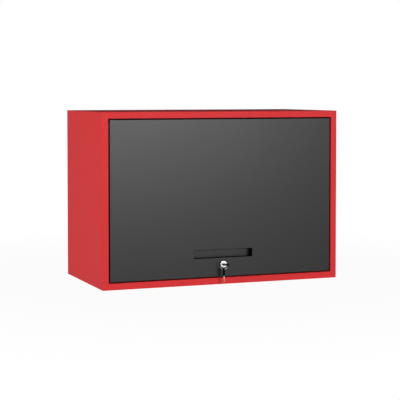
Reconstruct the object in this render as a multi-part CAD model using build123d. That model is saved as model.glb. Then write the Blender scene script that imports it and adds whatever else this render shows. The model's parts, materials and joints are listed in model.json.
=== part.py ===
from build123d import *
import os
from math import atan2, cos, hypot, radians, sin

# Steel wall cabinet with a top-hinged flip-up door, in millimetres.
# +Z is up, the front faces -Y, and the origin is the middle of the underside.

# Carcass
WIDTH = 700.0  # across the two side panels
DEPTH = 350.0  # front of the frame to the back of the back panel
HEIGHT = 480.0  # underside to top
SHEET = 1.0  # steel sheet of carcass and door
BEND = 1.6  # outside radius of the folds
FRAME = 18.0  # visible width of the frame round the door opening
REAR_FLANGE = 16.0  # flange of a side panel along the back panel
BUTT_FIT = 0.2  # play where one folded piece ends against another

# Wall fixing
WALL_RAIL_HEIGHT = 40.0
WALL_RAIL_THICKNESS = 2.0
WALL_HOLE_RADIUS = 4.5
WALL_HOLES_FROM_SIDES = 100.0
WALL_HOLES_FROM_ENDS = 60.0  # from the top and from the underside

# Door
DOOR_GAP = 3.0  # between the door and the frame, all round
DOOR_INSET = 0.5  # door face behind the face of the frame
DOOR_DEPTH = 20.0  # depth of the folded door pan
DOOR_RETURN = 14.0  # lip folded in along the back of the pan
DOOR_OPENS = 90.0  # degrees
STIFFENER_WIDTH = 36.0
STIFFENER_FLANGE = 10.0

# Door stop
STOP_GAP = 3.5  # between the back of the door and the stop
STOP_LIP = 12.0  # how far the stop reaches behind the door opening
BUMPER_RADIUS = 4.5
BUMPER_PLAY = 0.3
BUMPER_ROUND = 1.0
BUMPERS_FROM_ENDS = 72.0  # on the stiles, from the top and bottom of the door opening
BUMPERS_FROM_SIDES = 132.0  # on the channel, from the sides of the door opening

# Door pivots
HINGE_SETBACK = 12.0  # pivot axis behind the door face
HINGE_DROP = 12.0  # pivot axis below the top edge of the door
PIN_RADIUS = 3.0
PIN_HEAD_RADIUS = 6.0
PIN_HEAD_THICKNESS = 2.0
PIN_FIT = 0.05
PIN_TAIL = 2.0  # pin beyond its clip
BUSH_WALL = 1.5
BUSH_FLANGE_RADIUS = 7.0
HINGE_PLATE_THICKNESS = 2.0
HINGE_PLATE_LENGTH = 30.0
END_PLAY = 0.3
CLIP_THICKNESS = 1.0
CLIP_RADIUS = 5.5
CLIP_GROOVE_RADIUS = 2.3

# Handle recess
SLOT_WIDTH = 175.0
SLOT_HEIGHT = 24.0
SLOT_ABOVE_DOOR_EDGE = 52.5  # bottom edge of the door to the bottom of the slot
SLOT_DEPTH = 22.0
LINER_WALL = 1.5
PAN_FLANGE = 8.0

# Lock
LOCK_ABOVE_DOOR_EDGE = 35.0  # bottom edge of the door to the lock axis
LOCK_HEAD_RADIUS = 9.5
LOCK_HEAD_THICKNESS = 5.0
LOCK_HEAD_ROUND = 1.6
LOCK_BODY_RADIUS = 8.0
LOCK_FIT = 0.05
PLUG_RADIUS = 6.0
PLUG_RECESS = 0.4  # face of the plug behind the face of the head
PLUG_STUB_RADIUS = 4.0
NUT_FLATS = 20.0
NUT_THICKNESS = 4.0
CAM_THICKNESS = 2.5
CAM_WIDTH = 12.0
CAM_CORNER = 3.0
CAM_OVERLAP = 8.0  # of the turned cam behind the stop lip
CAM_PLAY = 1.0  # between the cam and the stop lip
CAM_SCREW_RADIUS = 2.0
CAM_SCREW_HEAD_RADIUS = 5.0
CAM_SCREW_HEAD_THICKNESS = 2.4
CAM_SCREW_LENGTH = 8.0

# Keys
BLADE_LENGTH = 21.0
BLADE_WIDTH = 7.0
BLADE_THICKNESS = 1.8
BLADE_PLAY = 0.15
BLADE_CUT = 1.3  # depth of the notches in a blade
BLADE_CUTS = 4
BLADE_TIP = 1.75
TANG_LENGTH = 8.0
BOW_LENGTH = 20.0
BOW_WIDTH = 16.0
BOW_THICKNESS = 3.4
BOW_CORNER = 3.0
BOW_EYE_RADIUS = 4.4
BOW_EYE_FROM_END = 7.0
KEY_STANDOFF = 1.0  # bow in front of the lock head
RING_RADIUS = 8.5
RING_WIRE_RADIUS = 0.7
RING_HANG = 5.1  # ring centre below the bar of the bow that it hangs on
RING_PLAY = 0.35
SPARE_TURN = 10.0  # degrees about the vertical

# Gas struts
STRUT_FROM_STOP = 14.0  # strut plane inside the edge of the door stop
STRUT_DROP = 225.0  # ball on the door below the pivot axis
STRUT_STANDOFF = 14.5  # ball on the door behind the door pan
STRUT_SPREAD = 68.0  # degrees between the two balls, seen from the pivot axis, door shut
BALL_RADIUS = 5.0
BALL_FIT = 0.06
STUD_RADIUS = 3.0
STUD_COLLAR_RADIUS = 5.0
STUD_COLLAR_THICKNESS = 2.0
STUD_HEAD_RADIUS = 4.5
STUD_HEAD_THICKNESS = 1.5
STUD_LENGTH = 12.0  # ball centre to bracket
BRACKET_SHEET = 2.0
BRACKET_LENGTH = 30.0
BRACKET_EAR = 10.0  # ball centre to the end of the door bracket's ear
BRACKET_CORNER = 7.5
BRACKET_FOOT = 15.0
BRACKET_BASE = 28.0
BRACKET_SCREW_RADIUS = 2.5
BRACKET_SCREW_HEAD_RADIUS = 4.5
BRACKET_SCREW_HEAD_THICKNESS = 2.8
BRACKET_SCREW_ROUND = 1.4
BRACKET_SCREW_TAIL = 4.0
BRACKET_SCREWS_APART = 16.0
SOCKET_RADIUS = 7.5
SOCKET_NECK_RADIUS = 5.5
SOCKET_LENGTH = 17.0
SOCKET_LIP = 3.0  # ball centre to the open face of its socket
SOCKET_BACK = 7.0  # ball centre to the closed face of its socket
TUBE_RADIUS = 7.5
TUBE_WALL = 1.0
TUBE_FLOOR = 3.0
GLAND_LENGTH = 9.0
ROD_RADIUS = 3.0
ROD_FIT = 0.1
PISTON_LENGTH = 8.0
STRUT_SHUT_GAP = 2.0  # gland to rod socket with the door shut

# Places worked out from the sizes above
half_width = WIDTH / 2
front = -DEPTH / 2
back = DEPTH / 2
opening_half = half_width - FRAME
door_half = opening_half - DOOR_GAP
door_low = FRAME + DOOR_GAP
door_high = HEIGHT - FRAME - DOOR_GAP
door_front = front + DOOR_INSET
door_skin = door_front + SHEET
door_rear = door_front + DOOR_DEPTH
stop_front = door_rear + STOP_GAP
stop_rear = stop_front + SHEET
stop_top = FRAME + STOP_LIP
hinge_y = door_front + HINGE_SETBACK
hinge_z = door_high - HINGE_DROP
corner_swing = hypot(door_rear - hinge_y, HINGE_DROP) + DOOR_GAP
lock_z = door_low + LOCK_ABOVE_DOOR_EDGE
slot_z = door_low + SLOT_ABOVE_DOOR_EDGE + SLOT_HEIGHT / 2
inside_fold = BEND - SHEET


def block(x, y, z):
    """Box between a low and a high value on each axis."""
    middle = Pos((x[0] + x[1]) / 2, (y[0] + y[1]) / 2, (z[0] + z[1]) / 2)
    return middle * Box(x[1] - x[0], y[1] - y[0], z[1] - z[0])


def span(half):
    """Low and high value at equal distance from zero."""
    return (-half, half)


def around(middle, length):
    """Low and high value about a middle."""
    return (middle - length / 2, middle + length / 2)


def round_x(radius, x, y, z):
    """Cylinder along X between two X values."""
    return Pos((x[0] + x[1]) / 2, y, z) * Rot(0, 90, 0) * Cylinder(radius, abs(x[1] - x[0]))


def round_y(radius, x, y, z):
    """Cylinder along Y between two Y values."""
    return Pos(x, (y[0] + y[1]) / 2, z) * Rot(90, 0, 0) * Cylinder(radius, abs(y[1] - y[0]))


def folded(points, sheet, plane, length):
    """Strip of folded sheet: its centre line in the plane, and its length along the plane's normal."""
    line = FilletPolyline(*points, radius=inside_fold + sheet / 2)
    section = plane * trace(line, sheet)
    return extrude(section, amount=length, dir=plane.z_dir)


def right_hand(piece):
    """The right-hand twin of a left-hand piece."""
    return mirror(piece, about=Plane.YZ)


def carcass_envelope():
    """Outside of the welded shell: every outer corner is folded or ground round, and the back is open."""
    shell = block(span(half_width), (front, back - SHEET), (0, HEIGHT))
    face_edges = shell.edges().group_by(Axis.Y)[0]
    return fillet(face_edges + shell.edges().filter_by(Axis.Y), BEND)


def mitred(corners):
    """The share of the shell that one panel has: corners of its outline in X and Z, seen from the front."""
    outline = make_face(Polyline(*corners, close=True))
    plane = Plane(origin=(0, back, 0), x_dir=(1, 0, 0), z_dir=(0, -1, 0))
    return extrude(plane * outline, amount=DEPTH, dir=plane.z_dir)


def make_top_panel():
    """Top sheet with the top rail of the frame in front and a flange along the back, mitred at both ends."""
    low = HEIGHT - FRAME
    corners = [(-half_width, HEIGHT), (half_width, HEIGHT), (opening_half, low), (-opening_half, low)]
    panel = carcass_envelope() & mitred(corners)
    panel -= block(span(half_width), (front + SHEET, back), (low, HEIGHT - SHEET))
    flange_half = half_width - SHEET - REAR_FLANGE - BUTT_FIT
    flange = block(span(flange_half), (back - 2 * SHEET, back - SHEET), (low, HEIGHT - SHEET))
    return panel + flange


def make_side_panel():
    """Left side, folded from one sheet: stop lip, return, stile, side and rear flange, with mitred ends."""
    middle = SHEET / 2
    points = [
        (-opening_half + STOP_LIP, stop_front + middle),
        (-opening_half - middle, stop_front + middle),
        (-opening_half - middle, front + middle),
        (-half_width + middle, front + middle),
        (-half_width + middle, back - SHEET - middle),
        (-half_width + SHEET + REAR_FLANGE, back - SHEET - middle),
    ]
    top = HEIGHT - FRAME
    corners = [
        (-half_width, 0),
        (-half_width, HEIGHT),
        (-opening_half, top),
        (-opening_half + STOP_LIP, top),
        (-opening_half + STOP_LIP, FRAME),
        (-opening_half, FRAME),
    ]
    panel = folded(points, SHEET, Plane.XY, HEIGHT) & carcass_envelope() & mitred(corners)
    lip_x = (-opening_half, -opening_half + STOP_LIP + SHEET)
    lip_y = (door_rear, stop_rear + SHEET)
    panel -= block(lip_x, lip_y, (hinge_z - corner_swing, HEIGHT))
    panel -= block(lip_x, lip_y, (0, stop_top + BUTT_FIT))
    pin_hole = around(-opening_half - middle, 2 * SHEET)
    return panel - round_x(PIN_RADIUS, pin_hole, hinge_y, hinge_z)


def wall_holes(y):
    """The four wall holes as cylinders along Y."""
    heights = (WALL_HOLES_FROM_ENDS, HEIGHT - WALL_HOLES_FROM_ENDS)
    places = [(x, z) for x in span(half_width - WALL_HOLES_FROM_SIDES) for z in heights]
    return [round_y(WALL_HOLE_RADIUS, x, y, z) for x, z in places]


def make_back_panel():
    sheet_z = (BEND, HEIGHT - BEND)
    panel = block(span(half_width - SHEET), (back - SHEET, back), sheet_z)
    return panel - wall_holes((back - 2 * SHEET, back + SHEET))


def make_wall_rail(hole_z):
    """Flat bar behind one row of wall holes."""
    half = half_width - SHEET - REAR_FLANGE - BUTT_FIT
    bar_y = (back - SHEET - WALL_RAIL_THICKNESS, back - SHEET)
    bar_z = around(hole_z, WALL_RAIL_HEIGHT)
    return block(span(half), bar_y, bar_z) - wall_holes((bar_y[0] - SHEET, back))


def make_door_stop_channel():
    """Behind the bottom rail: foot on the rail, ledge under the door, lip behind the door."""
    middle = SHEET / 2
    points = [
        (front + SHEET + middle, SHEET + BUTT_FIT),
        (front + SHEET + middle, FRAME - middle),
        (stop_front + middle, FRAME - middle),
        (stop_front + middle, stop_top),
    ]
    half = opening_half - BUTT_FIT
    return folded(points, SHEET, Plane.YZ.offset(-half), 2 * half)


def make_door_bumpers():
    """Rubber buttons on the stop lips."""
    side_x = opening_half - STOP_LIP / 2
    heights = (FRAME + BUMPERS_FROM_ENDS, HEIGHT - FRAME - BUMPERS_FROM_ENDS)
    places = [(x, z) for x in span(side_x) for z in heights]
    places += [(x, (FRAME + stop_top) / 2) for x in span(opening_half - BUMPERS_FROM_SIDES)]
    button_y = (door_rear + BUMPER_PLAY, stop_front)
    buttons = []
    for x, z in places:
        button = round_y(BUMPER_RADIUS, x, button_y, z)
        rim = button.edges().group_by(Axis.Y)[0]
        buttons.append(fillet(rim, BUMPER_ROUND))
    return Compound(children=buttons)


# Ends of the pivot pieces on the left, from the stile towards the middle
bush_outer_end = -opening_half + END_PLAY
bush_inner_end = -door_half + SHEET + HINGE_PLATE_THICKNESS
clip_start = bush_inner_end + END_PLAY
bush_radius = PIN_RADIUS + PIN_FIT + BUSH_WALL


def make_hinge_pin():
    """Left pivot pin, with its head in the hollow of the stile."""
    head_start = -opening_half - SHEET - PIN_HEAD_THICKNESS
    tip = clip_start + CLIP_THICKNESS + PIN_TAIL
    pin = round_x(PIN_RADIUS, (head_start, tip), hinge_y, hinge_z)
    pin += round_x(PIN_HEAD_RADIUS, (head_start, head_start + PIN_HEAD_THICKNESS), hinge_y, hinge_z)
    groove = (clip_start, clip_start + CLIP_THICKNESS)
    ring = round_x(PIN_RADIUS, groove, hinge_y, hinge_z)
    return pin - (ring - round_x(CLIP_GROOVE_RADIUS, groove, hinge_y, hinge_z))


def make_hinge_clip():
    """Open clip in the groove of the left pin."""
    thick = (clip_start, clip_start + CLIP_THICKNESS)
    clip = round_x(CLIP_RADIUS, thick, hinge_y, hinge_z)
    clip -= round_x(CLIP_GROOVE_RADIUS, thick, hinge_y, hinge_z)
    mouth = around(hinge_y, 2 * CLIP_GROOVE_RADIUS)
    return clip - block(thick, mouth, (hinge_z - CLIP_RADIUS, hinge_z))


def make_hinge_bush():
    """Flanged black nylon bush in the left edge of the door."""
    bush = round_x(bush_radius, (bush_outer_end, bush_inner_end), hinge_y, hinge_z)
    bush += round_x(BUSH_FLANGE_RADIUS, (bush_outer_end, -door_half), hinge_y, hinge_z)
    return bush - round_x(PIN_RADIUS + PIN_FIT, (bush_outer_end, bush_inner_end), hinge_y, hinge_z)


def make_hinge_plate():
    """Doubler inside the left edge of the door."""
    plate_x = (-door_half + SHEET, bush_inner_end)
    plate_z = (door_high - SHEET - HINGE_PLATE_LENGTH, door_high - SHEET)
    plate = block(plate_x, (door_skin, door_rear - SHEET), plate_z)
    return plate - round_x(bush_radius, plate_x, hinge_y, hinge_z)


def slot_block(grow, y):
    """The slot's outline, grown all round, between two Y values."""
    wide = span(SLOT_WIDTH / 2 + grow)
    return block(wide, y, around(slot_z, SLOT_HEIGHT + 2 * grow))


def make_door_panel():
    """Folded pan with lips along its back, the handle slot, the lock hole and the pivot holes."""
    tall = (door_low, door_high)
    pan = block(span(door_half), (door_front, door_rear), tall)
    face_edges = pan.edges().group_by(Axis.Y)[0]
    pan = fillet(face_edges + pan.edges().filter_by(Axis.Y), BEND)
    inside_z = (door_low + SHEET, door_high - SHEET)
    pan -= block(span(door_half - SHEET), (door_skin, door_rear - SHEET), inside_z)
    open_z = (door_low + DOOR_RETURN, door_high - DOOR_RETURN)
    pan -= block(span(door_half - DOOR_RETURN), (door_skin, door_rear), open_z)
    pan -= slot_block(0, (door_front - SHEET, door_skin + SHEET))
    pan -= round_y(LOCK_BODY_RADIUS, 0, (door_front - SHEET, door_skin + SHEET), lock_z)
    return pan - round_x(bush_radius, span(half_width), hinge_y, hinge_z)


stiffener_x = opening_half - STOP_LIP - STRUT_FROM_STOP - STUD_LENGTH - BRACKET_BASE / 2


def make_door_stiffener():
    """Left hat channel between the door skin and the back of the pan."""
    middle = SHEET / 2
    inner = STIFFENER_WIDTH / 2 - middle
    outer = STIFFENER_WIDTH / 2 + STIFFENER_FLANGE
    points = [
        (-stiffener_x - outer, door_skin + middle),
        (-stiffener_x - inner, door_skin + middle),
        (-stiffener_x - inner, door_rear - middle),
        (-stiffener_x + inner, door_rear - middle),
        (-stiffener_x + inner, door_skin + middle),
        (-stiffener_x + outer, door_skin + middle),
    ]
    low = door_low + DOOR_RETURN + SHEET
    high = door_high - DOOR_RETURN - SHEET
    channel = folded(points, SHEET, Plane.XY.offset(low), high - low)
    for x, z in bracket_screw_places():
        channel -= round_y(BRACKET_SCREW_RADIUS, x, (door_rear - 2 * SHEET, door_rear + SHEET), z)
    return channel


def make_handle_pan():
    """Steel pan behind the slot, with flanges on the door skin above and at both ends."""
    deep = (door_skin, door_front + SLOT_DEPTH + SHEET)
    pan = slot_block(LINER_WALL + SHEET, deep)
    pan -= slot_block(LINER_WALL, (door_skin, door_front + SLOT_DEPTH))
    edge = LINER_WALL + SHEET
    flange_z = (slot_z - SLOT_HEIGHT / 2 - edge, slot_z + SLOT_HEIGHT / 2 + edge + PAN_FLANGE)
    flange = block(span(SLOT_WIDTH / 2 + edge + PAN_FLANGE), (door_skin, door_skin + SHEET), flange_z)
    return pan + (flange - slot_block(LINER_WALL, (door_skin, door_skin + SHEET)))


def make_handle_liner():
    """Moulded frame that lines the four walls of the recess."""
    deep = (door_skin, door_front + SLOT_DEPTH)
    return slot_block(LINER_WALL, deep) - slot_block(0, deep)


# Lock places along Y
head_front = door_front - LOCK_HEAD_THICKNESS
cam_front = stop_rear + CAM_PLAY
cam_rear = cam_front + CAM_THICKNESS
plug_front = head_front + PLUG_RECESS
key_shoulder = head_front - KEY_STANDOFF
keyway_end = key_shoulder + BLADE_LENGTH + KEY_STANDOFF


def make_lock_housing():
    """Round head in front of the door, and the body through it."""
    head = round_y(LOCK_HEAD_RADIUS, 0, (head_front, door_front), lock_z)
    head = fillet(head.edges().group_by(Axis.Y)[0], LOCK_HEAD_ROUND)
    body = round_y(LOCK_BODY_RADIUS, 0, (door_front, cam_front - END_PLAY), lock_z)
    return head + body - round_y(PLUG_RADIUS + LOCK_FIT, 0, (head_front, cam_front), lock_z)


def make_lock_nut():
    """Hexagon nut that clamps the lock to the door skin."""
    hexagon = RegularPolygon(NUT_FLATS / 2, 6, major_radius=False)
    plane = Plane(origin=(0, door_skin, lock_z), x_dir=(1, 0, 0), z_dir=(0, 1, 0))
    nut = extrude(plane * hexagon, amount=NUT_THICKNESS)
    return nut - round_y(LOCK_BODY_RADIUS, 0, (door_skin, door_skin + NUT_THICKNESS), lock_z)


def make_lock_plug():
    """Plug with the keyway in front and a stub for the cam behind."""
    plug = round_y(PLUG_RADIUS, 0, (plug_front, cam_front), lock_z)
    plug += round_y(PLUG_STUB_RADIUS, 0, (cam_front, cam_rear), lock_z)
    wide = span(BLADE_WIDTH / 2 + BLADE_PLAY)
    high = around(lock_z, BLADE_THICKNESS + 2 * BLADE_PLAY)
    plug -= block(wide, (plug_front, keyway_end), high)
    return plug - round_y(CAM_SCREW_RADIUS, 0, (cam_rear - CAM_SCREW_LENGTH, cam_rear), lock_z)


def make_lock_cam():
    """Flat cam that points to the left with the lock open."""
    reach = lock_z - stop_top + CAM_OVERLAP
    thick = (cam_front, cam_rear)
    arm = block((-reach, 0), thick, around(lock_z, CAM_WIDTH))
    arm = fillet(arm.edges().filter_by(Axis.Y).group_by(Axis.X)[0], CAM_CORNER)
    cam = arm + round_y(LOCK_BODY_RADIUS, 0, thick, lock_z)
    return cam - round_y(PLUG_STUB_RADIUS, 0, thick, lock_z)


def make_lock_cam_screw():
    head = round_y(CAM_SCREW_HEAD_RADIUS, 0, (cam_rear, cam_rear + CAM_SCREW_HEAD_THICKNESS), lock_z)
    return head + round_y(CAM_SCREW_RADIUS, 0, (cam_rear - CAM_SCREW_LENGTH, cam_rear), lock_z)


def tang():
    """The shaft of a key inside its bow, along -Y from the shoulder."""
    return block(span(BLADE_WIDTH / 2), (-TANG_LENGTH, 0), span(BLADE_THICKNESS / 2))


def blade():
    """Notched blade along +Y, flat on XY, with its shoulder at the origin."""
    piece = tang() + block(span(BLADE_WIDTH / 2), (0, BLADE_LENGTH), span(BLADE_THICKNESS / 2))
    pitch = BLADE_LENGTH / (BLADE_CUTS + 1)
    for index in range(BLADE_CUTS):
        notch = Rot(0, 0, 45) * Box(BLADE_CUT * 2**0.5, BLADE_CUT * 2**0.5, 2 * BLADE_THICKNESS)
        piece -= Pos(BLADE_WIDTH / 2, pitch * (index + 1), 0) * notch
    tip = piece.edges().filter_by(Axis.Z).group_by(Axis.Y)[-1]
    return chamfer(tip, BLADE_TIP)


def bow():
    """Moulded head along -Y from the shoulder, with its eye."""
    head = block(span(BOW_WIDTH / 2), (-BOW_LENGTH, 0), span(BOW_THICKNESS / 2))
    head = fillet(head.edges().filter_by(Axis.Z), BOW_CORNER)
    eye = Pos(0, -BOW_LENGTH + BOW_EYE_FROM_END, 0) * Cylinder(BOW_EYE_RADIUS, 2 * BOW_THICKNESS)
    return head - eye - tang()


# The key in the lock lies flat, and the ring hangs on the left bar of its bow
key_place = Location(Plane(origin=(0, key_shoulder, lock_z), x_dir=(1, 0, 0), z_dir=(0, 0, 1)))
eye_y = key_shoulder - BOW_LENGTH + BOW_EYE_FROM_END
bar_x = -(BOW_EYE_RADIUS + BOW_WIDTH / 2) / 2
ring_z = lock_z - RING_HANG
spare_eye_z = ring_z - RING_RADIUS - (BOW_EYE_RADIUS - RING_WIRE_RADIUS - RING_PLAY)
spare_shoulder_z = spare_eye_z - BOW_LENGTH + BOW_EYE_FROM_END
spare_hook = Location(Plane(origin=(bar_x, eye_y, spare_shoulder_z), x_dir=(0, 1, 0), z_dir=(-1, 0, 0)))
spare_place = spare_hook * Rot(0, SPARE_TURN, 0)


def make_key_ring():
    ring_plane = Plane(origin=(bar_x, eye_y, ring_z), x_dir=(1, 0, 0), z_dir=(0, 1, 0))
    return Location(ring_plane) * Torus(RING_RADIUS, RING_WIRE_RADIUS)


# Left strut: both balls lie at one distance from the pivot axis
strut_x = -(opening_half - STOP_LIP - STRUT_FROM_STOP)
door_ball = Vector(strut_x, door_rear + STRUT_STANDOFF, hinge_z - STRUT_DROP)
ball_reach = hypot(door_ball.Y - hinge_y, STRUT_DROP)
wall_angle = atan2(door_ball.Y - hinge_y, STRUT_DROP) + radians(STRUT_SPREAD)
wall_ball_y = hinge_y + ball_reach * sin(wall_angle)
wall_ball_z = hinge_z - ball_reach * cos(wall_angle)
wall_ball = Vector(strut_x, wall_ball_y, wall_ball_z)
strut_shut = 2 * ball_reach * sin(radians(STRUT_SPREAD / 2))
strut_open = 2 * ball_reach * sin(radians((STRUT_SPREAD + DOOR_OPENS) / 2))
strut_line = (door_ball - wall_ball).normalized()
strut_place = Location(Plane(origin=wall_ball, x_dir=(1, 0, 0), z_dir=strut_line))
tube_end = strut_shut - SOCKET_LENGTH - STRUT_SHUT_GAP
piston_low = tube_end - GLAND_LENGTH - PISTON_LENGTH - STRUT_SHUT_GAP - (strut_open - strut_shut)
wall_face = -half_width + SHEET
wall_bracket_top = strut_x - STUD_LENGTH
door_bracket_face = strut_x + STUD_LENGTH


def ball_stud(ball, side):
    """Ball, neck, collar and riveted shank, turned: side is the way from the ball to its bracket, along X."""
    neck = (BALL_RADIUS**2 - STUD_RADIUS**2) ** 0.5
    collar = STUD_LENGTH - STUD_COLLAR_THICKNESS
    far = STUD_LENGTH + BRACKET_SHEET
    end = far + STUD_HEAD_THICKNESS
    ball_arc = ThreePointArc((-BALL_RADIUS, 0), (0, BALL_RADIUS), (neck, STUD_RADIUS))
    shank = Polyline(
        (neck, STUD_RADIUS),
        (collar, STUD_RADIUS),
        (collar, STUD_COLLAR_RADIUS),
        (STUD_LENGTH, STUD_COLLAR_RADIUS),
        (STUD_LENGTH, STUD_RADIUS),
        (far, STUD_RADIUS),
        (far, STUD_HEAD_RADIUS),
        (end, STUD_HEAD_RADIUS),
        (end, 0),
        (-BALL_RADIUS, 0),
    )
    stud = revolve(make_face(ball_arc + shank), Axis.X)
    turn = 0 if side > 0 else 180
    return Pos(*ball) * Rot(0, 0, turn) * stud


def make_strut_bracket():
    """Hat bracket on the left side wall."""
    middle = BRACKET_SHEET / 2
    half = BRACKET_LENGTH / 2
    points = [
        (wall_face + middle, wall_ball.Z - half - BRACKET_FOOT),
        (wall_face + middle, wall_ball.Z - half),
        (wall_bracket_top - middle, wall_ball.Z - half),
        (wall_bracket_top - middle, wall_ball.Z + half),
        (wall_face + middle, wall_ball.Z + half),
        (wall_face + middle, wall_ball.Z + half + BRACKET_FOOT),
    ]
    plane = Plane(origin=(0, wall_ball.Y + half, 0), x_dir=(1, 0, 0), z_dir=(0, -1, 0))
    hat = folded(points, BRACKET_SHEET, plane, BRACKET_LENGTH)
    hole = (wall_bracket_top - 2 * BRACKET_SHEET, wall_bracket_top + BRACKET_SHEET)
    return hat - round_x(STUD_RADIUS, hole, wall_ball.Y, wall_ball.Z)


def bracket_screw_places():
    """X and Z of the two screws of the left door bracket."""
    x = door_bracket_face + BRACKET_SHEET + BRACKET_BASE / 2
    return [(x, z) for z in around(door_ball.Z, BRACKET_SCREWS_APART)]


def make_door_bracket():
    """Angle bracket on the left stiffener of the door."""
    middle = BRACKET_SHEET / 2
    ear = door_ball.Y + BRACKET_EAR
    points = [
        (door_bracket_face + middle, ear),
        (door_bracket_face + middle, door_rear + middle),
        (door_bracket_face + BRACKET_BASE, door_rear + middle),
    ]
    plane = Plane.XY.offset(door_ball.Z - BRACKET_LENGTH / 2)
    angle = folded(points, BRACKET_SHEET, plane, BRACKET_LENGTH)
    ear_edges = angle.edges().filter_by(Axis.X).group_by(Axis.Y)[-1]
    angle = fillet(ear_edges, BRACKET_CORNER)
    hole = around(door_bracket_face + middle, 2 * BRACKET_SHEET)
    angle -= round_x(STUD_RADIUS, hole, door_ball.Y, door_ball.Z)
    for x, z in bracket_screw_places():
        angle -= round_y(BRACKET_SCREW_RADIUS, x, (door_rear, door_rear + BRACKET_SHEET), z)
    return angle


def make_door_bracket_screws():
    """Two pan-head screws on each side."""
    screws = []
    seat = door_rear + BRACKET_SHEET
    for x, z in bracket_screw_places():
        head_y = (seat, seat + BRACKET_SCREW_HEAD_THICKNESS)
        screw = round_y(BRACKET_SCREW_HEAD_RADIUS, x, head_y, z)
        rim = screw.edges().group_by(Axis.Y)[-1]
        screw = fillet(rim, BRACKET_SCREW_ROUND)
        screw += round_y(BRACKET_SCREW_RADIUS, x, (door_rear - SHEET - BRACKET_SCREW_TAIL, seat), z)
        screws += [screw, right_hand(screw)]
    return Compound(children=screws)


def ball_socket(open_side):
    """Socket about a ball at the origin, with its neck along Z: open_side is the way it opens, along X."""
    faces = sorted((open_side * SOCKET_LIP, -open_side * SOCKET_BACK))
    socket = round_x(SOCKET_RADIUS, faces, 0, 0)
    socket += Pos(0, 0, SOCKET_LENGTH / 2) * Cylinder(SOCKET_NECK_RADIUS, SOCKET_LENGTH)
    neck_room = (open_side * SOCKET_LIP, open_side * SOCKET_RADIUS)
    socket -= round_x(SOCKET_RADIUS, sorted(neck_room), 0, 0)
    return socket - Sphere(BALL_RADIUS + BALL_FIT)


def along_strut(radius, low, high):
    """Cylinder on the strut's own axis, measured from the ball on the wall."""
    return Pos(0, 0, (low + high) / 2) * Cylinder(radius, high - low)


def make_strut_tube():
    tube = along_strut(TUBE_RADIUS, SOCKET_LENGTH, tube_end)
    return strut_place * (tube - along_strut(TUBE_RADIUS - TUBE_WALL, SOCKET_LENGTH + TUBE_FLOOR, tube_end))


def make_strut_gland():
    gland = along_strut(TUBE_RADIUS - TUBE_WALL, tube_end - GLAND_LENGTH, tube_end)
    return strut_place * (gland - along_strut(ROD_RADIUS + ROD_FIT, tube_end - GLAND_LENGTH, tube_end))


def make_strut_end_socket():
    return strut_place * ball_socket(-1)


def make_strut_rod():
    return strut_place * along_strut(ROD_RADIUS, piston_low, strut_shut - SOCKET_LENGTH)


def make_strut_piston():
    piston = along_strut(TUBE_RADIUS - TUBE_WALL - ROD_FIT, piston_low, piston_low + PISTON_LENGTH)
    return strut_place * (piston - along_strut(ROD_RADIUS, piston_low, piston_low + PISTON_LENGTH))


def make_strut_rod_socket():
    turned = Pos(0, 0, strut_shut) * Rot(180, 0, 0)
    return strut_place * turned * ball_socket(1)


left_pieces = {
    "side_panel": make_side_panel(),
    "hinge_pin": make_hinge_pin(),
    "hinge_clip": make_hinge_clip(),
    "hinge_bush": make_hinge_bush(),
    "hinge_plate": make_hinge_plate(),
    "door_stiffener": make_door_stiffener(),
    "strut_bracket": make_strut_bracket(),
    "wall_ball_stud": ball_stud(wall_ball, -1),
    "door_bracket": make_door_bracket(),
    "door_ball_stud": ball_stud(door_ball, 1),
    "strut_tube": make_strut_tube(),
    "strut_gland": make_strut_gland(),
    "strut_end_socket": make_strut_end_socket(),
    "strut_rod": make_strut_rod(),
    "strut_piston": make_strut_piston(),
    "strut_rod_socket": make_strut_rod_socket(),
}

top_panel = make_top_panel()
pieces = {
    "top_panel": top_panel,
    "bottom_panel": mirror(top_panel, about=Plane.XY.offset(HEIGHT / 2)),
    "back_panel": make_back_panel(),
    "upper_wall_rail": make_wall_rail(HEIGHT - WALL_HOLES_FROM_ENDS),
    "lower_wall_rail": make_wall_rail(WALL_HOLES_FROM_ENDS),
    "door_stop_channel": make_door_stop_channel(),
    "door_bumpers": make_door_bumpers(),
    "door_panel": make_door_panel(),
    "handle_pan": make_handle_pan(),
    "handle_liner": make_handle_liner(),
    "door_bracket_screws": make_door_bracket_screws(),
    "lock_housing": make_lock_housing(),
    "lock_nut": make_lock_nut(),
    "lock_plug": make_lock_plug(),
    "lock_cam": make_lock_cam(),
    "lock_cam_screw": make_lock_cam_screw(),
    "key_blade": key_place * blade(),
    "key_bow": key_place * bow(),
    "key_ring": make_key_ring(),
    "spare_key_blade": spare_place * blade(),
    "spare_key_bow": spare_place * bow(),
}
for name, piece in left_pieces.items():
    pieces["left_" + name] = piece
    pieces["right_" + name] = right_hand(piece)

os.makedirs("parts", exist_ok=True)
for name, piece in pieces.items():
    export_step(piece, f"parts/{name}.step")

print("pivot axis y, z:", hinge_y, hinge_z)
print("ball on the wall:", tuple(wall_ball))
print("ball on the door:", tuple(door_ball))
print("strut length shut and open:", strut_shut, strut_open)
print("piston room at the tube floor:", piston_low - SOCKET_LENGTH - TUBE_FLOOR)
print("lock axis z:", lock_z, "ring pivot x, y:", bar_x, eye_y)
print("lowest point of the spare key:", spare_shoulder_z - BLADE_LENGTH)
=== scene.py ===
import json
from math import cos, pi, radians, sin, sqrt

import bpy
from mathutils import Matrix, Vector


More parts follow.
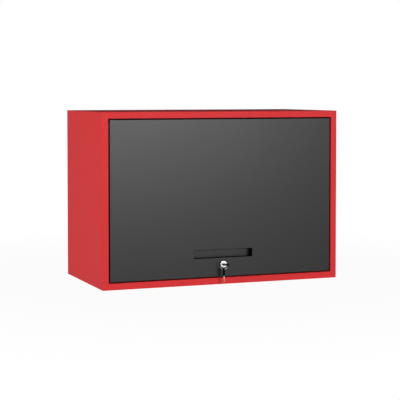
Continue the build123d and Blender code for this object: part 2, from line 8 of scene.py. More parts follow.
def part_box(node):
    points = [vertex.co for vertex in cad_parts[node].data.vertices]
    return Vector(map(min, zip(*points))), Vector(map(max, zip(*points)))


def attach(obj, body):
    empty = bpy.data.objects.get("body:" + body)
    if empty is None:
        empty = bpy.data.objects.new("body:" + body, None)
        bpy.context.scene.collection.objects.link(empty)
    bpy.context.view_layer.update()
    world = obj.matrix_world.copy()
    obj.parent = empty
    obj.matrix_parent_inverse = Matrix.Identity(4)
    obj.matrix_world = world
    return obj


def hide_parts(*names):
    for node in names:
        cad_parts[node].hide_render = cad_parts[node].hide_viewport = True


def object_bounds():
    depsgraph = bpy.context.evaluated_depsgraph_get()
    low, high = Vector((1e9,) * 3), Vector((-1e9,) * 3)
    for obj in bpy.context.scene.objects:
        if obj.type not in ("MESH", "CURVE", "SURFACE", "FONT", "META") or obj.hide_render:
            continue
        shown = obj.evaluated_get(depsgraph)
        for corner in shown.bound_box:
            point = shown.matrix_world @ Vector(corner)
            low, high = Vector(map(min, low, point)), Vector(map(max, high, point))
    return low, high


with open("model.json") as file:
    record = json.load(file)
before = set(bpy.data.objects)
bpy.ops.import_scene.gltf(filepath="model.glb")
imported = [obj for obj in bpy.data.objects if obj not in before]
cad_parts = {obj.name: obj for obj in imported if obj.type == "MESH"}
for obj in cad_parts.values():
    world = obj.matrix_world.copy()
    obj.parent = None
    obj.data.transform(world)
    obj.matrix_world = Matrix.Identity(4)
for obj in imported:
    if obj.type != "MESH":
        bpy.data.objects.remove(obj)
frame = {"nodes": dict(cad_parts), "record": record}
cad_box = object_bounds()

# The steel wall cabinet of the frame, in metres: +Z is up and the door faces -Y.
MM = 0.001
SHARP = radians(35)  # edges that turn by more are rounded and shaded as edges
EDGE_STEPS = 2
BAR_SIDES = 48
DOUBLES = 0.001 * MM
ALONG = 0.9  # cosine from which a direction counts as along an axis
ACROSS = 0.1  # cosine up to which it counts as square to it

# Sockets of the node that blends two colours
MIX_FACTOR = 0
MIX_FIRST = 6
MIX_SECOND = 7
MIX_RESULT = 2
NOISE_MEAN = 0.5

# Powder coat: scales of its noises per metre, and how far they reach
PAINT_CLOUDS = 5.0
PAINT_PEEL = 420.0
PAINT_GRAIN = 2400.0
PAINT_TINTS = (0.95, 1.05)
PAINT_SPECKS = 0.12
PAINT_SPECK_TINT = 0.7
PAINT_CLOUD_GLOSS = 0.05
PAINT_GRAIN_GLOSS = 0.06
PAINT_PEEL_SHARE = 0.75  # of the bumps, the rest is grain

# Plated metal
PLATE_LINES = 900.0
PLATE_CLOUDS = 160.0
PLATE_TINTS = (0.86, 1.08)
PLATE_LINE_GLOSS = 0.14
PLATE_CLOUD_GLOSS = 0.08
PLATE_LINE_HEIGHT = 0.01 * MM
CHROME_HAZE = 300.0
CHROME_DULL = (0.78, 0.79, 0.8, 1)
CHROME_BRIGHT = (0.9, 0.9, 0.91, 1)
CHROME_ROUGHNESS = 0.18
CHROME_HAZE_GLOSS = 0.06

# Mouldings and enamel
MOULD_GRAIN = 1500.0
MOULD_CLOUDS = 60.0
MOULD_TINTS = (0.85, 1.15)
MOULD_GRAIN_GLOSS = 0.1
ENAMEL_FLOW = 120.0
ENAMEL_DARK = (0.008, 0.008, 0.009, 1)
ENAMEL_LIGHT = (0.014, 0.014, 0.015, 1)
ENAMEL_ROUGHNESS = 0.2
ENAMEL_FLOW_GLOSS = 0.1
ENAMEL_FLOW_HEIGHT = 0.05 * MM

# Camera, fitted to the cabinet's corners in a 400 x 400 picture
CAMERA_PLACE = (-1.3460, -3.4531, 0.5337)
CAMERA_TURN = radians(21.273)  # to the right of straight ahead
CAMERA_TILT = radians(2.467)  # down
CAMERA_LENS = 115.38
CAMERA_SHIFT = -0.1325

# Studio
KEY_AZIMUTH = radians(10.5)
KEY_RISE = radians(8)
KEY_DISTANCE = 6.0
KEY_WIDTH = 3.0
KEY_HEIGHT = 1.4
KEY_POWER = 252
FILL_AZIMUTH = radians(-78)
FILL_RISE = radians(8)
FILL_DISTANCE = 3.0
FILL_WIDTH = 1.6
FILL_HEIGHT = 1.6
FILL_POWER = 57
REAR_AZIMUTH = radians(135)
REAR_RISE = 0.0  # the lamp stays below the top of the cabinet
REAR_DISTANCE = 3.5
REAR_WIDTH = 1.6
REAR_HEIGHT = 0.44
REAR_POWER = 110
ROOM_LIGHT = 0.1
FLOOR_WIDTH = 30
WALL_RADIUS = 8
WALL_HEIGHT = 2
WALL_SIDES = 96
SHADOW_SHARE = 0.05  # how much of the floor's own shading shows beside the cabinet
SHADOW_NEAR = 0.6
SHADOW_FAR = 1.3
ANY_RAY = 0.5  # the kinds of ray that see white add up to 1 or more, the others to 0
WHITE = (1, 1, 1, 1)
PAPER = (0.8, 0.8, 0.8, 1)

# Lip of the handle's liner, which covers the cut edge of the slot; its black also paints shade lines along
# the slot's edges
LINER_WALL = 1.5 * MM
LIP_WIDTH = 0.6 * MM
LIP_PROUD = 0.15 * MM
LIP_EDGE = 0.1 * MM

# Key bows, as the frame's nodes
BOW_CORNER = 3.0 * MM
BOW_CORNER_STEPS = 8
BOW_EYE_RADIUS = 4.4 * MM
BOW_EYE_FROM_END = 7.0 * MM
BOW_RIM = 0.7 * MM
BOW_STEP = 0.25 * MM
BOW_RECESS = 0.35 * MM
BOW_EDGE = 0.14 * MM
SPARE_TURN = radians(10)  # about the vertical

# Key blades
BLADE_CUT = 1.3 * MM
BLADE_CUTS = 4
BLADE_TIP = 1.75 * MM
BLADE_EDGE = 0.1 * MM
BLADE_SHANK = 21.0 * MM
GROOVE_WIDTH = 1.3 * MM
GROOVE_DEPTH = 0.35 * MM
GROOVE_RUN = 1.2  # of the shank, so that it runs out at the point
GROOVE_FROM_BACK = 1.6 * MM

# Split ring
RING_WIRE_WIDTH = 1.0 * MM
RING_WIRE_HEIGHT = 0.5 * MM
RING_TURN_RISE = 0.55 * MM
RING_TURNS = 2
RING_STEPS = 72  # for each turn
RING_EDGE = 0.12 * MM

# Wire clips on the ball sockets
CLIP_WIRE_RADIUS = 0.6 * MM
CLIP_RADIUS = 7.9 * MM  # centre line of the wire, half sunk in the socket
CLIP_FROM_BALL = 1.2 * MM  # towards the open face of the socket
CLIP_SWEEP = radians(250)
CLIP_STEPS = 48
WIRE_SIDES = 12

# Screws
SCREW_HEAD_RADIUS = 4.5 * MM
SCREW_HEAD_HEIGHT = 2.8 * MM
SCREW_SHANK_RADIUS = 2.5 * MM
CAM_SCREW_HEAD_HEIGHT = 2.4 * MM
CAM_SCREW_SHANK_RADIUS = 2.0 * MM
SCREW_HEAD_TOP = 0.99  # of the head's height, from which an edge is one of its top
SCREW_HEAD_STEPS = 6
SCREW_HEAD_EDGE = 0.1 * MM
SCREW_SHANK_EDGE = 0.3 * MM
RECESS_LENGTH = 1.1  # of the head's radius
RECESS_WIDTH = 0.26  # also of that radius

# Spot welds along the edges of the back sheet
WELD_RADIUS = 3.0 * MM
WELD_RISE = 0.25 * MM
WELD_FROM_EDGE = 8.0 * MM
WELD_PITCH = 70.0 * MM
WELD_SIDES = 24
WELD_RIM = 0.3  # of the mark's radius
WELD_SLOPE = 0.25  # also of that radius
WELD_DIMPLE = 0.8  # of its rise
WELD_EDGE = 0.45  # also of that rise


class Signal:
    """A value on its way through a material's nodes."""

    def __init__(self, finish, socket):
        self.finish = finish
        self.socket = socket

    def math(self, operation, first, second):
        return self.finish.node("Math", {"operation": operation}, {0: first, 1: second})

    def __add__(self, other):
        return self.math("ADD", self, other)

    __radd__ = __add__

    def __sub__(self, other):
        return self.math("SUBTRACT", self, other)

    def __rsub__(self, other):
        return self.math("SUBTRACT", other, self)

    def __mul__(self, other):
        return self.math("MULTIPLY", self, other)

    __rmul__ = __mul__

    def __gt__(self, other):
        return self.math("GREATER_THAN", self, other)


class Finish:
    """The nodes of one material, or of the room."""

    def __init__(self, tree):
        self.tree = tree
        tree.nodes.clear()

    def node(self, kind, settings=None, inputs=None, output=0):
        """Adds a node, sets it up, feeds its sockets and returns one output."""
        node = self.tree.nodes.new("ShaderNode" + kind)
        for name, value in (settings or {}).items():
            if name == "stops":
                self.set_stops(node.color_ramp.elements, value)
            else:
                setattr(node, name, value)
        for name, value in (inputs or {}).items():
            if isinstance(value, Signal):
                self.tree.links.new(value.socket, node.inputs[name])
            else:
                node.inputs[name].default_value = value
        return Signal(self, node.outputs[output]) if len(node.outputs) else None

    @staticmethod
    def set_stops(elements, stops):
        while len(elements) < len(stops):
            elements.new(1)
        for element, (position, colour) in zip(elements, stops):
            element.position = position
            element.color = colour

    def place(self):
        return self.node("TexCoord", output="Object")

    def noise(self, scale, detail=2):
        return self.node("TexNoise", {}, {"Vector": self.place(), "Scale": scale, "Detail": detail})

    def mix(self, factor, first, second):
        """Blend of two colours."""
        inputs = {MIX_FACTOR: factor, MIX_FIRST: first, MIX_SECOND: second}
        return self.node("Mix", {"data_type": "RGBA"}, inputs, output=MIX_RESULT)

    def bump(self, height, distance):
        return self.node("Bump", {}, {"Height": height, "Distance": distance, "Strength": 1.0})


def new_finish(name):
    material = bpy.data.materials.new(name)
    material.use_nodes = True
    return material, Finish(material.node_tree)


def coat_with(finish, **inputs):
    """The surface shader, its inputs written as keywords, and the output."""
    named = {name.replace("_", " ").title().replace("Ior", "IOR"): value for name, value in inputs.items()}
    surface = finish.node("BsdfPrincipled", {}, named)
    finish.node("OutputMaterial", {}, {"Surface": surface})


def shade(colour, factor):
    return tuple(min(1.0, part * factor) for part in colour) + (1.0,)


def shades(colour, factors):
    return [shade(colour, factor) for factor in factors]


def powder_coat(name, colour, roughness, specular, peel):
    """Stoved powder coat: orange peel, a fine grain, and slow changes of tint and gloss."""
    material, finish = new_finish(name)
    cloud = finish.noise(PAINT_CLOUDS, detail=3)
    ripple = finish.noise(PAINT_PEEL)
    grain = finish.noise(PAINT_GRAIN, detail=1)
    tint = finish.mix(cloud, *shades(colour, PAINT_TINTS))
    speckled = finish.mix(grain * PAINT_SPECKS, tint, shade(colour, PAINT_SPECK_TINT))
    gloss = roughness + PAINT_CLOUD_GLOSS * (cloud - NOISE_MEAN) + PAINT_GRAIN_GLOSS * (grain - NOISE_MEAN)
    normal = finish.bump(ripple * PAINT_PEEL_SHARE + grain * (1 - PAINT_PEEL_SHARE), peel)
    coat_with(finish, base_color=speckled, roughness=gloss, specular_ior_level=specular, normal=normal)
    return material


def plated_steel(name, colour, roughness, brushed):
    """Bright plated metal with drawn lines, and a little unevenness in its polish."""
    material, finish = new_finish(name)
    stretched = finish.node("Mapping", {}, {"Vector": finish.place(), "Scale": brushed})
    lines = finish.node("TexNoise", {}, {"Vector": stretched, "Scale": PLATE_LINES, "Detail": 3})
    cloud = finish.noise(PLATE_CLOUDS)
    tint = finish.mix(cloud, *shades(colour, PLATE_TINTS))
    gloss = roughness + PLATE_LINE_GLOSS * (lines - NOISE_MEAN) + PLATE_CLOUD_GLOSS * (cloud - NOISE_MEAN)
    normal = finish.bump(lines, PLATE_LINE_HEIGHT)
    coat_with(finish, base_color=tint, metallic=1.0, roughness=gloss, normal=normal)
    return material


def satin_chrome():
    material, finish = new_finish("satin_chrome")
    haze = finish.noise(CHROME_HAZE, detail=3)
    tint = finish.mix(haze, CHROME_DULL, CHROME_BRIGHT)
    gloss = CHROME_ROUGHNESS + CHROME_HAZE_GLOSS * haze
    coat_with(finish, base_color=tint, metallic=1.0, roughness=gloss)
    return material


def moulding(name, colour, roughness, specular, grain_height):
    """Moulded plastic or rubber with the fine grain of its tool."""
    material, finish = new_finish(name)
    grain = finish.noise(MOULD_GRAIN)
    cloud = finish.noise(MOULD_CLOUDS)
    tint = finish.mix(cloud, *shades(colour, MOULD_TINTS))
    gloss = roughness + MOULD_GRAIN_GLOSS * (grain - NOISE_MEAN)
    normal = finish.bump(grain, grain_height)
    coat_with(finish, base_color=tint, roughness=gloss, specular_ior_level=specular, normal=normal)
    return material


def gloss_enamel():
    """Sprayed enamel of the strut tubes."""
    material, finish = new_finish("gloss_enamel")
    flow = finish.noise(ENAMEL_FLOW)
    tint = finish.mix(flow, ENAMEL_DARK, ENAMEL_LIGHT)
    gloss = ENAMEL_ROUGHNESS + ENAMEL_FLOW_GLOSS * flow
    normal = finish.bump(flow, ENAMEL_FLOW_HEIGHT)
    coat_with(finish, base_color=tint, roughness=gloss, normal=normal)
    return material


def white_paper():
    """White to the eye and in reflections, with a trace of the cabinet's own shadow around it."""
    material, finish = new_finish("white_paper")
    seen = finish.node("LightPath", output="Is Camera Ray")
    seen = seen + finish.node("LightPath", output="Is Glossy Ray")
    seen = seen + finish.node("LightPath", output="Is Transmission Ray")
    away = finish.node("VectorMath", {"operation": "LENGTH"}, {0: finish.place()}, output="Value")
    reach = {"From Min": SHADOW_NEAR, "From Max": SHADOW_FAR, "To Min": SHADOW_SHARE, "To Max": 0.0}
    shading = finish.node("MapRange", {}, {"Value": away, **reach})
    paper = finish.node("BsdfDiffuse", {}, {"Color": PAPER})
    white = finish.node("Emission", {}, {"Color": WHITE, "Strength": 1.0})
    surface = finish.node("MixShader", {}, {0: (seen > ANY_RAY) * (1 - shading), 1: paper, 2: white})
    finish.node("OutputMaterial", {}, {"Surface": surface})
    return material


finishes = {
    "red_paint": powder_coat(
        "red_powder_coat", colour=(0.6, 0.003, 0.006), roughness=0.66, specular=0.45, peel=0.03 * MM
    ),
    "charcoal_paint": powder_coat(
        "charcoal_powder_coat", colour=(0.005, 0.005, 0.005), roughness=0.345, specular=0.268, peel=0.025 * MM
    ),
    "black_enamel": gloss_enamel(),
    "chrome": satin_chrome(),
    "polished_steel": plated_steel(
        "ground_rod", colour=(0.56, 0.57, 0.58), roughness=0.18, brushed=(1, 1, 1)
    ),
    "zinc_steel": plated_steel(
        "zinc_plate", colour=(0.44, 0.44, 0.43), roughness=0.4, brushed=(1, 0.2, 1)
    ),
    "steel_wire": plated_steel(
        "drawn_wire", colour=(0.27, 0.27, 0.27), roughness=0.34, brushed=(1, 1, 1)
    ),
    "nickel_brass": plated_steel(
        "nickel_plate", colour=(0.24, 0.235, 0.21), roughness=0.38, brushed=(1, 0.15, 0.15)
    ),
    # Black plastic of the key bows, and also of the slot liner and its lip, whose black walls are painted
    # shade for the unlit inside of the finger slot
    "black_plastic": moulding(
        "black_moulding_and_painted_shade", colour=(0.003, 0.003, 0.003), roughness=0.7, specular=0.04, grain_height=0.03 * MM
    ),
    "black_nylon": moulding(
        "black_nylon", colour=(0.008, 0.008, 0.008), roughness=0.55, specular=0.25, grain_height=0.01 * MM
    ),
    "black_rubber": moulding(
        "black_rubber", colour=(0.014, 0.014, 0.014), roughness=0.8, specular=0.3, grain_height=0.04 * MM
    ),
}


def paint_frame():
    """Every node of the frame takes the finish of its slot."""
    for subpart in frame["record"]["subparts"]:
        mesh = frame["nodes"][subpart["node"]].data
        mesh.materials.clear()
        mesh.materials.append(finishes[subpart["material_slot"]])


def start():
    """Nothing selected, in object mode."""
    if bpy.context.object and bpy.context.object.mode != "OBJECT":
        bpy.ops.object.mode_set(mode="OBJECT")
    bpy.ops.object.select_all(action="DESELECT")


def activate(piece):
    start()
    bpy.context.view_layer.objects.active = piece
    piece.select_set(True)


def settle(piece):
    """The piece's place goes into its mesh."""
    activate(piece)
    bpy.ops.object.transform_apply(location=True, rotation=True, scale=True)


def box(name, size, place=(0, 0, 0), turn=(0, 0, 0)):
    start()
    bpy.ops.mesh.primitive_cube_add(size=1, location=place, rotation=turn, scale=size)
    piece = bpy.context.object
    piece.name = name
    settle(piece)
    return piece


def round_bar(name, radius, length, place=(0, 0, 0), turn=(0, 0, 0), sides=BAR_SIDES):
    start()
    shape = {"vertices": sides, "radius": radius, "depth": length}
    bpy.ops.mesh.primitive_cylinder_add(location=place, rotation=turn, **shape)
    piece = bpy.context.object
    piece.name = name
    settle(piece)
    return piece


def pick(piece, kind, test):
    """Selects the piece's faces or edges that pass a test, and enters edit mode."""
    activate(piece)
    mesh = piece.data
    for parts in (mesh.vertices, mesh.edges, mesh.polygons):
        for part in parts:
            part.select = False
    if kind == "FACE":
        for face in mesh.polygons:
            face.select = test(face.center, face.normal)
    else:
        for edge in mesh.edges:
            ends = [mesh.vertices[index].co for index in edge.vertices]
            edge.select = test((ends[0] + ends[1]) / 2, (ends[1] - ends[0]).normalized())
    bpy.context.tool_settings.mesh_select_mode = (False, kind == "EDGE", kind == "FACE")
    bpy.ops.object.mode_set(mode="EDIT")


def apply_modifier(piece, kind, **settings):
    activate(piece)
    modifier = piece.modifiers.new(kind.lower(), kind)
    for name, value in settings.items():
        setattr(modifier, name, value)
    bpy.ops.object.modifier_apply(modifier=modifier.name)


def cut(piece, tool):
    """Takes the tool's shape out of the piece."""
    apply_modifier(piece, "BOOLEAN", operation="DIFFERENCE", object=tool, solver="EXACT")
    bpy.data.objects.remove(tool)


def fuse(piece, other):
    """Makes one closed shape of two."""
    apply_modifier(piece, "BOOLEAN", operation="UNION", object=other, solver="EXACT")
    bpy.data.objects.remove(other)


def soften(piece, width):
    """Rounds the sharp edges, and shades the flats flat."""
    limit = {"limit_method": "ANGLE", "angle_limit": SHARP}
    apply_modifier(piece, "BEVEL", width=width, segments=EDGE_STEPS, **limit)
    activate(piece)
    bpy.ops.object.shade_smooth_by_angle(angle=SHARP)


def tidy(piece):
    """Merges doubles and turns the faces outwards."""
    activate(piece)
    bpy.ops.object.mode_set(mode="EDIT")
    bpy.ops.mesh.select_all(action="SELECT")
    bpy.ops.mesh.remove_doubles(threshold=DOUBLES)
    bpy.ops.mesh.normals_make_consistent(inside=False)
    bpy.ops.object.mode_set(mode="OBJECT")


def sweep(piece, axis, angle, steps, **settings):
    """Sweeps an outline about an axis, and puts a face on each open end."""
    apply_modifier(piece, "SCREW", axis=axis, angle=angle, steps=steps, render_steps=steps, **settings)
    pick(piece, "EDGE", lambda middle, along: False)
    bpy.ops.mesh.select_non_manifold()
    bpy.ops.mesh.fill_holes(sides=0)
    start()
    tidy(piece)


def copy_of(piece, name, matrix):
    """A copy with its own mesh, put in its place."""
    twin = piece.copy()
    twin.data = piece.data.copy()
    twin.name = name
    bpy.context.collection.objects.link(twin)
    twin.data.transform(matrix)
    return twin


def join(name, pieces):
    start()
    for piece in pieces:
        piece.select_set(True)
    bpy.context.view_layer.objects.active = pieces[0]
    bpy.ops.object.join()
    pieces[0].name = name
    return pieces[0]


def finish_piece(piece, body, slot, *nodes):
    """Gives a finished piece its body, its finish, and the nodes that it stands for."""
    piece.data.materials.clear()
    piece.data.materials.append(finishes[slot])
    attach(piece, body)
    if nodes:
        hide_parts(*nodes)


def size_of(node):
    low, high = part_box(node)
    return Vector(high) - Vector(low)


def middle_of(node):
    low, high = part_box(node)
    return (Vector(low) + Vector(high)) / 2


def make_shade_line_lip():
    """Thin black frame in the mouth of the slot: a liner lip over the cut edge, whose black also paints shade
    lines along the slot's edges.
    """
    low, high = (Vector(corner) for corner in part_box("handle_liner"))
    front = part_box("door_panel")[0][1] - LIP_PROUD
    size = Vector((high.x - low.x - 2 * LINER_WALL, low.y - front, high.z - low.z - 2 * LINER_WALL))
    place = ((low.x + high.x) / 2, (front + low.y) / 2, (low.z + high.z) / 2)
    lip = box("shade_line_lip", size, place)
    mouth = (size.x - 2 * LIP_WIDTH, 2 * size.y, size.z - 2 * LIP_WIDTH)
    cut(lip, box("mouth", mouth, place))
    soften(lip, LIP_EDGE)
    # Black lip: partly the liner's own edge, partly painted shade along the mouth of the slot
    finish_piece(lip, "door", "black_plastic")


def bow_model():
    """Moulded key bow, flat on XY: a sunk field with a rim on both faces, and an eye in a boss."""
    size = size_of("key_bow")
    bow = box("bow_model", size)
    pick(bow, "EDGE", lambda middle, along: abs(along.z) > ALONG)
    bpy.ops.mesh.bevel(offset=BOW_CORNER, segments=BOW_CORNER_STEPS)
    start()
    for side in (-1, 1):
        pick(bow, "FACE", lambda middle, normal: normal.z * side > ALONG)
        bpy.ops.mesh.inset(thickness=BOW_RIM, depth=0)
        bpy.ops.mesh.inset(thickness=BOW_STEP, depth=-BOW_RECESS)
        start()
    soften(bow, BOW_EDGE)
    eye_place = (0, BOW_EYE_FROM_END - size.y / 2, 0)
    boss = round_bar("boss", BOW_EYE_RADIUS + BOW_RIM, size.z - BOW_EDGE, eye_place)
    soften(boss, BOW_EDGE)
    fuse(bow, boss)
    cut(bow, round_bar("eye", BOW_EYE_RADIUS, 2 * size.z, eye_place))
    activate(bow)
    bpy.ops.object.shade_smooth_by_angle(angle=SHARP)
    return bow


def blade_model():
    """Notched blade with its milled groove, flat on XY, point towards +Y."""
    size = size_of("key_blade")
    blade = box("blade_model", size)
    pick(blade, "EDGE", lambda middle, along: abs(along.z) > ALONG and middle.y > 0)
    bpy.ops.mesh.bevel(offset=BLADE_TIP, segments=1)
    start()
    pitch = BLADE_SHANK / (BLADE_CUTS + 1)
    side = BLADE_CUT * sqrt(2)
    for index in range(BLADE_CUTS):
        along = size.y / 2 - BLADE_SHANK + pitch * (index + 1)
        cut(blade, box("notch", (side, side, 2 * size.z), (size.x / 2, along, 0), (0, 0, pi / 4)))
    across = -size.x / 2 + GROOVE_FROM_BACK + GROOVE_WIDTH / 2
    for face in (-1, 1):
        place = (across, size.y / 2 - BLADE_SHANK / 2, face * size.z / 2)
        cut(blade, box("groove", (GROOVE_WIDTH, BLADE_SHANK * GROOVE_RUN, 2 * GROOVE_DEPTH), place))
    soften(blade, BLADE_EDGE)
    return blade


def make_keys():
    """The key in the lock lies flat; the second one hangs on edge, point down."""
    point_down = Matrix(((0, 0, -1), (1, 0, 0), (0, -1, 0))).to_4x4()
    hang = point_down @ Matrix.Rotation(SPARE_TURN, 4, "Y")
    for model, node, spare, slot in (
        (bow_model(), "key_bow", "spare_key_bow", "black_plastic"),
        (blade_model(), "key_blade", "spare_key_blade", "nickel_brass"),
    ):
        in_lock = copy_of(model, "moulded_" + node, Matrix.Translation(middle_of(node)))
        finish_piece(in_lock, "key", slot, node)
        hanging = copy_of(model, "moulded_" + spare, Matrix.Translation(middle_of(spare)) @ hang)
        finish_piece(hanging, "hanging_keys", slot, spare)
        bpy.data.objects.remove(model)


def make_split_ring():
    """Two turns of flat wire."""
    middle = middle_of("key_ring")
    radius = size_of("key_ring").x / 2 - RING_WIRE_WIDTH / 2
    start()
    bpy.ops.mesh.primitive_plane_add(size=1, location=(radius, 0, 0), rotation=(pi / 2, 0, 0))
    ring = bpy.context.object
    ring.name = "split_ring"
    ring.scale = (RING_WIRE_WIDTH, RING_WIRE_HEIGHT, 1)
    settle(ring)
    activate(ring)
    bpy.ops.object.mode_set(mode="EDIT")
    bpy.ops.mesh.delete(type="ONLY_FACE")
    bpy.ops.object.mode_set(mode="OBJECT")
    sweep(ring, "Z", 2 * pi, RING_STEPS, iterations=RING_TURNS, screw_offset=RING_TURN_RISE)
    low = min(corner.co.z for corner in ring.data.vertices)
    high = max(corner.co.z for corner in ring.data.vertices)
    stand = Matrix.Rotation(pi / 2, 4, "X") @ Matrix.Translation((0, 0, -(low + high) / 2))
    ring.data.transform(Matrix.Translation(middle) @ stand)
    soften(ring, RING_EDGE)
    finish_piece(ring, "hanging_keys", "steel_wire", "key_ring")


def clip_model():
    """Open ring of round wire about X, with its gap towards +Z."""
    start()
    place = (0, 0, -CLIP_RADIUS)
    shape = {"vertices": WIRE_SIDES, "radius": CLIP_WIRE_RADIUS}
    bpy.ops.mesh.primitive_circle_add(location=place, rotation=(pi / 2, 0, 0), **shape)
    clip = bpy.context.object
    settle(clip)
    clip.data.transform(Matrix.Rotation(-CLIP_SWEEP / 2, 4, "X"))
    sweep(clip, "X", CLIP_SWEEP, CLIP_STEPS, screw_offset=0)
    activate(clip)
    bpy.ops.object.shade_smooth_by_angle(angle=SHARP)
    return clip


def make_socket_clips():
    """One clip on each ball socket, with its gap where the socket's neck is."""
    model = clip_model()
    for side, outwards in (("left", -1), ("right", 1)):
        plane = middle_of(f"{side}_strut_tube").x
        balls = [middle_of(f"{side}_{end}_ball_stud") for end in ("wall", "door")]
        along = (balls[1] - balls[0]) * Vector((0, 1, 1))
        along.normalize()
        ends = (("end", "cylinder", balls[0], along, outwards), ("rod", "rod", balls[1], -along, -outwards))
        for name, body, ball, neck, opening in ends:
            turn = Matrix(((1, 0, 0), (0, neck.z, neck.y), (0, -neck.y, neck.z))).to_4x4()
            place = Matrix.Translation((plane + opening * CLIP_FROM_BALL, ball.y, ball.z))
            clip = copy_of(model, f"{side}_{name}_socket_clip", place @ turn)
            finish_piece(clip, f"{side}_{body}", "steel_wire")
    bpy.data.objects.remove(model)


def screw_model(head_radius, head_height, shank_radius, shank_length):
    """Pan-head screw with a cross recess: the seat of its head is at the origin, and it points down -Z."""
    head = round_bar("head", head_radius, head_height, (0, 0, head_height / 2))
    top = SCREW_HEAD_TOP * head_height
    pick(head, "EDGE", lambda middle, along: middle.z > top and abs(along.z) < ACROSS)
    bpy.ops.mesh.bevel(offset=head_height / 2, segments=SCREW_HEAD_STEPS)
    start()
    for turn in (0, pi / 2):
        size = (RECESS_LENGTH * head_radius, RECESS_WIDTH * head_radius, head_height)
        cut(head, box("arm", size, (0, 0, head_height), (0, 0, turn)))
    soften(head, SCREW_HEAD_EDGE)
    shank = round_bar("shank", shank_radius, shank_length, (0, 0, -shank_length / 2))
    soften(shank, SCREW_SHANK_EDGE)
    return join("screw_model", [head, shank])


def make_screws():
    """The four screws of the door brackets, and the screw of the lock's cam."""
    low, high = (Vector(corner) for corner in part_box("door_bracket_screws"))
    seat = high.y - SCREW_HEAD_HEIGHT
    model = screw_model(SCREW_HEAD_RADIUS, SCREW_HEAD_HEIGHT, SCREW_SHANK_RADIUS, seat - low.y)
    face_back = Matrix.Rotation(-pi / 2, 4, "X")
    screws = []
    for x in (low.x + SCREW_HEAD_RADIUS, high.x - SCREW_HEAD_RADIUS):
        for z in (low.z + SCREW_HEAD_RADIUS, high.z - SCREW_HEAD_RADIUS):
            screws.append(copy_of(model, "screw", Matrix.Translation((x, seat, z)) @ face_back))
    bpy.data.objects.remove(model)
    finish_piece(join("pan_head_screws", screws), "door", "zinc_steel", "door_bracket_screws")

    low, high = (Vector(corner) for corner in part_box("lock_cam_screw"))
    seat = high.y - CAM_SCREW_HEAD_HEIGHT
    screw = screw_model((high.x - low.x) / 2, CAM_SCREW_HEAD_HEIGHT, CAM_SCREW_SHANK_RADIUS, seat - low.y)
    middle = (low + high) / 2
    screw.data.transform(Matrix.Translation((middle.x, seat, middle.z)) @ face_back)
    screw.name = "pan_head_cam_screw"
    finish_piece(screw, "lock_core", "zinc_steel", "lock_cam_screw")


def weld_places():
    """Points along the edges of the back sheet, in X and Z."""
    low, high = (Vector(corner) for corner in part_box("back_panel"))
    left, right = low.x + WELD_FROM_EDGE, high.x - WELD_FROM_EDGE
    bottom, top = low.z + WELD_FROM_EDGE, high.z - WELD_FROM_EDGE
    across = round((right - left) / WELD_PITCH)
    upright = round((top - bottom) / WELD_PITCH)
    for index in range(across + 1):
        for z in (bottom, top):
            yield left + (right - left) * index / across, z
    for index in range(1, upright):
        for x in (left, right):
            yield x, bottom + (top - bottom) * index / upright


def make_spot_welds():
    """Shallow painted-over weld marks on the outside of the back sheet."""
    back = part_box("back_panel")[1][1]
    mark = round_bar("mark", WELD_RADIUS, 2 * WELD_RISE, sides=WELD_SIDES)
    pick(mark, "FACE", lambda middle, normal: normal.z > ALONG)
    bpy.ops.mesh.inset(thickness=WELD_RADIUS * WELD_RIM, depth=0)
    bpy.ops.mesh.inset(thickness=WELD_RADIUS * WELD_SLOPE, depth=-WELD_RISE * WELD_DIMPLE)
    start()
    soften(mark, WELD_RISE * WELD_EDGE)
    face_back = Matrix.Rotation(-pi / 2, 4, "X")
    marks = [copy_of(mark, "mark", Matrix.Translation((x, back, z)) @ face_back) for x, z in weld_places()]
    bpy.data.objects.remove(mark)
    finish_piece(join("back_spot_welds", marks), "carcass", "red_paint")


def make_camera():
    camera = bpy.data.cameras.new("camera")
    camera.lens = CAMERA_LENS
    camera.shift_y = CAMERA_SHIFT
    holder = bpy.data.objects.new("camera", camera)
    holder.location = CAMERA_PLACE
    holder.rotation_euler = (pi / 2 - CAMERA_TILT, 0, -CAMERA_TURN)
    bpy.context.collection.objects.link(holder)
    bpy.context.scene.camera = holder


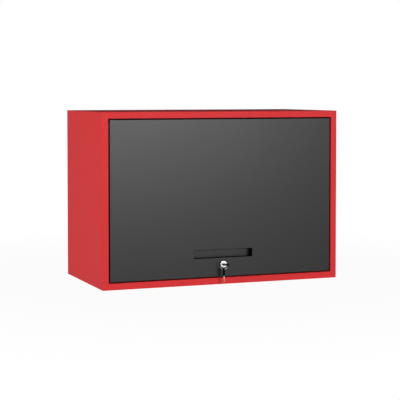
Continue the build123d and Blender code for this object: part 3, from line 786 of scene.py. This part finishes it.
def softbox(name, azimuth, rise, distance, size, power):
    """Oblong lamp aimed at the middle of the cabinet: azimuth is measured from straight in front."""
    low, high = (Vector(corner) for corner in cad_box)
    aim = (low + high) / 2
    way = Vector((sin(azimuth) * cos(rise), -cos(azimuth) * cos(rise), sin(rise)))
    lamp = bpy.data.lights.new(name, "AREA")
    lamp.shape = "RECTANGLE"
    lamp.size, lamp.size_y = size
    lamp.energy = power
    holder = bpy.data.objects.new(name, lamp)
    holder.location = aim + way * distance
    holder.rotation_euler = way.to_track_quat("Z", "Y").to_euler()
    bpy.context.collection.objects.link(holder)


def make_room():
    """Dim all round, so that the lamps do the work."""
    world = bpy.data.worlds.new("room")
    bpy.context.scene.world = world
    world.use_nodes = True
    finish = Finish(world.node_tree)
    light = finish.node("Background", {}, {"Color": WHITE, "Strength": ROOM_LIGHT})
    finish.node("OutputWorld", {}, {"Surface": light})


def make_stage():
    """Paper floor, and a round paper wall."""
    paper = white_paper()
    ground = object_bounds()[0][2]
    start()
    bpy.ops.mesh.primitive_plane_add(size=FLOOR_WIDTH, location=(0, 0, ground))
    floor = bpy.context.object
    floor.name = "floor"
    start()
    shape = {"vertices": WALL_SIDES, "radius": WALL_RADIUS, "depth": WALL_HEIGHT}
    place = (0, 0, ground + WALL_HEIGHT / 2)
    bpy.ops.mesh.primitive_cylinder_add(end_fill_type="NOTHING", location=place, **shape)
    wall = bpy.context.object
    wall.name = "wall"
    for sheet in (floor, wall):
        settle(sheet)
        sheet.data.materials.append(paper)


paint_frame()
make_shade_line_lip()
make_keys()
make_split_ring()
make_socket_clips()
make_screws()
make_spot_welds()
make_camera()
softbox("key_light", KEY_AZIMUTH, KEY_RISE, KEY_DISTANCE, (KEY_WIDTH, KEY_HEIGHT), KEY_POWER)
softbox("fill_light", FILL_AZIMUTH, FILL_RISE, FILL_DISTANCE, (FILL_WIDTH, FILL_HEIGHT), FILL_POWER)
softbox("rear_light", REAR_AZIMUTH, REAR_RISE, REAR_DISTANCE, (REAR_WIDTH, REAR_HEIGHT), REAR_POWER)
make_room()
make_stage()
bpy.context.scene.view_settings.view_transform = "Standard"
